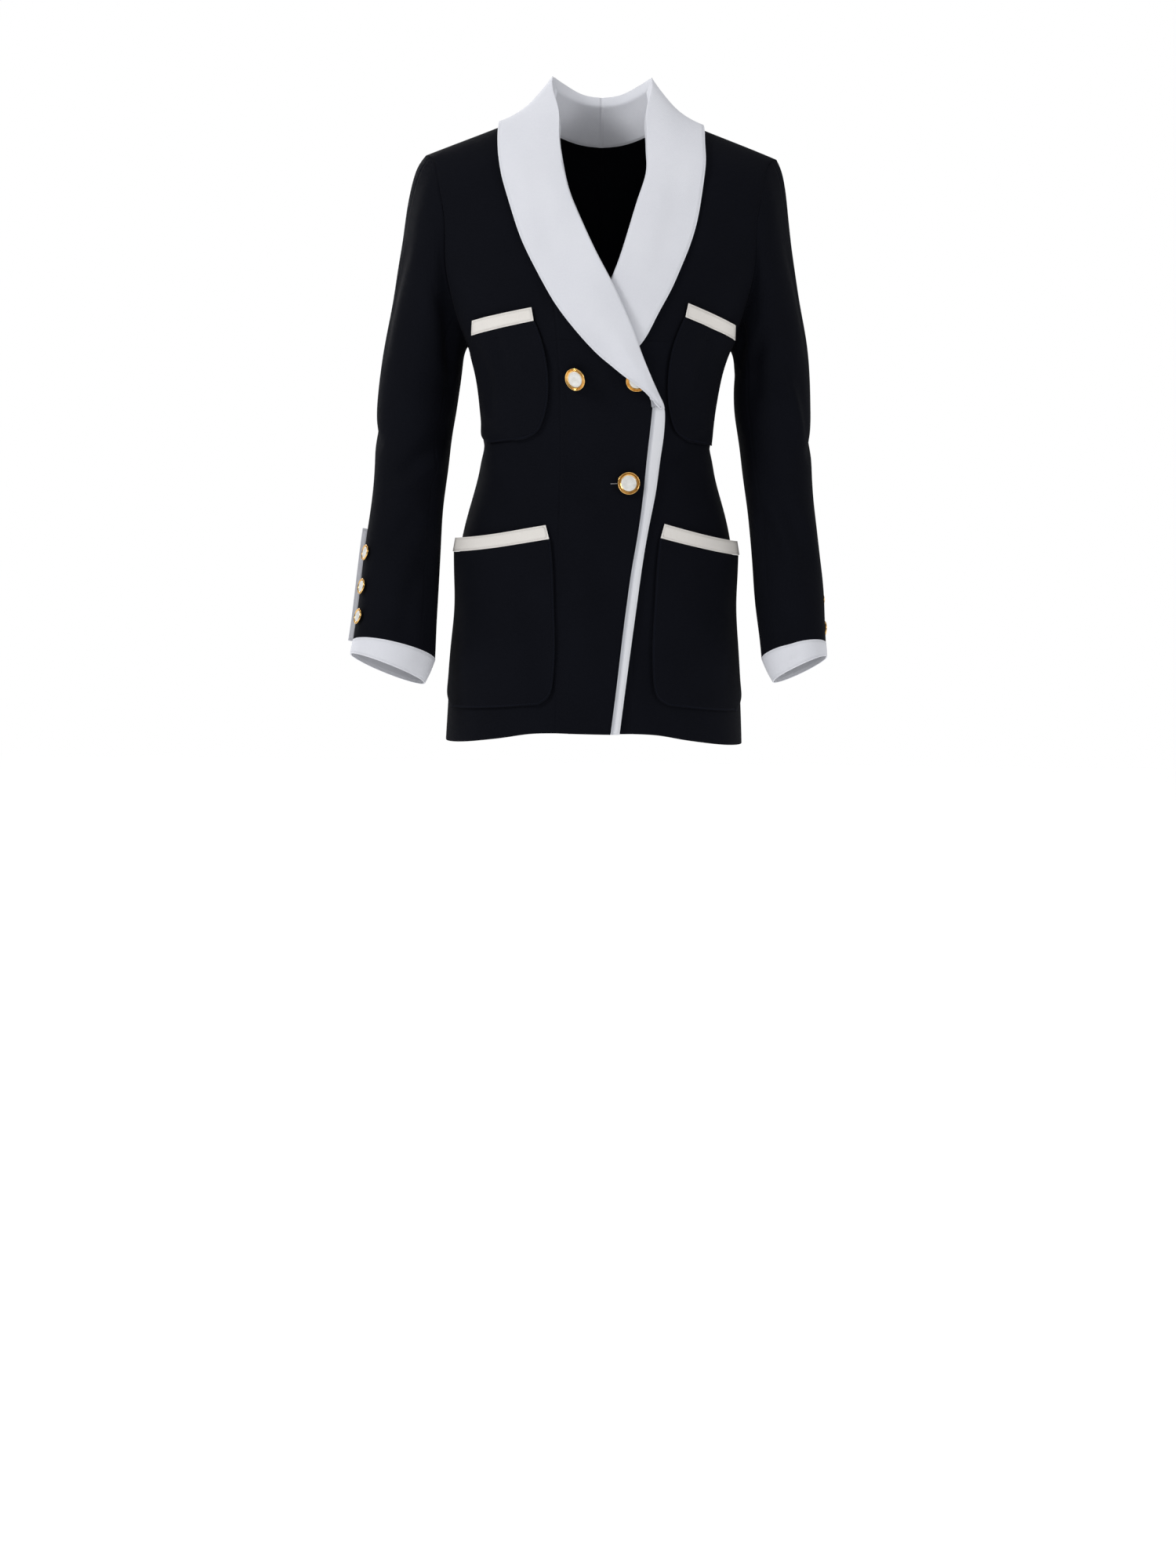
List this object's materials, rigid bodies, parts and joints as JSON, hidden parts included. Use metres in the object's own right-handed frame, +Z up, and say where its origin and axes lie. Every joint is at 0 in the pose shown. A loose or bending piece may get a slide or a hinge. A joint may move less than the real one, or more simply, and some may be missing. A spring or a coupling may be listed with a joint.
{
  "type": "double-breasted jacket",
  "caption": "Double-breasted cotton jacket with a wide shawl collar, edge band, patch pockets and long vented sleeves.",
  "frame": {"origin": "base of the neck, midway between the neck ends of the two shoulder seams, where the jacket rests on its wearer", "axes": "+Z up along the worn jacket, -Y out of its front, +X towards the wearer's left"},
  "size_m": [0.545, 0.2669, 0.7499],
  "materials": {
    "navy_cotton": "matt woven cotton, very dark navy",
    "white_cotton": "matt cotton with a fine diagonal rib, white",
    "gold_metal": "polished gold-coloured metal",
    "white_enamel": "glossy white"
  },
  "bodies": {
    "root": {"back_left": "navy_cotton", "back_right": "navy_cotton", "chest_pocket_left": "navy_cotton", "chest_pocket_left_band": "white_cotton", "chest_pocket_right": "navy_cotton", "chest_pocket_right_band": "white_cotton", "collar_left": "white_cotton", "collar_right": "white_cotton", "cuff_left": "white_cotton", "cuff_right": "white_cotton", "edge_band": "white_cotton", "front_button_1_centre": "white_enamel", "front_button_1_rim": "gold_metal", "front_button_2_centre": "white_enamel", "front_button_2_rim": "gold_metal", "front_button_3_centre": "white_enamel", "front_button_3_rim": "gold_metal", "front_left": "navy_cotton", "front_right": "navy_cotton", "hip_pocket_left": "navy_cotton", "hip_pocket_left_band": "white_cotton", "hip_pocket_right": "navy_cotton", "hip_pocket_right_band": "white_cotton", "side_front_left": "navy_cotton", "side_front_right": "navy_cotton", "sleeve_button_left_1_centre": "white_enamel", "sleeve_button_left_1_rim": "gold_metal", "sleeve_button_left_2_centre": "white_enamel", "sleeve_button_left_2_rim": "gold_metal", "sleeve_button_left_3_centre": "white_enamel", "sleeve_button_left_3_rim": "gold_metal", "sleeve_button_right_1_centre": "white_enamel", "sleeve_button_right_1_rim": "gold_metal", "sleeve_button_right_2_centre": "white_enamel", "sleeve_button_right_2_rim": "gold_metal", "sleeve_button_right_3_centre": "white_enamel", "sleeve_button_right_3_rim": "gold_metal", "sleeve_top_left": "navy_cotton", "sleeve_top_right": "navy_cotton", "sleeve_under_left": "navy_cotton", "sleeve_under_right": "navy_cotton", "vent_strip_left": "white_cotton", "vent_strip_right": "white_cotton"}
  },
  "joints": []
}
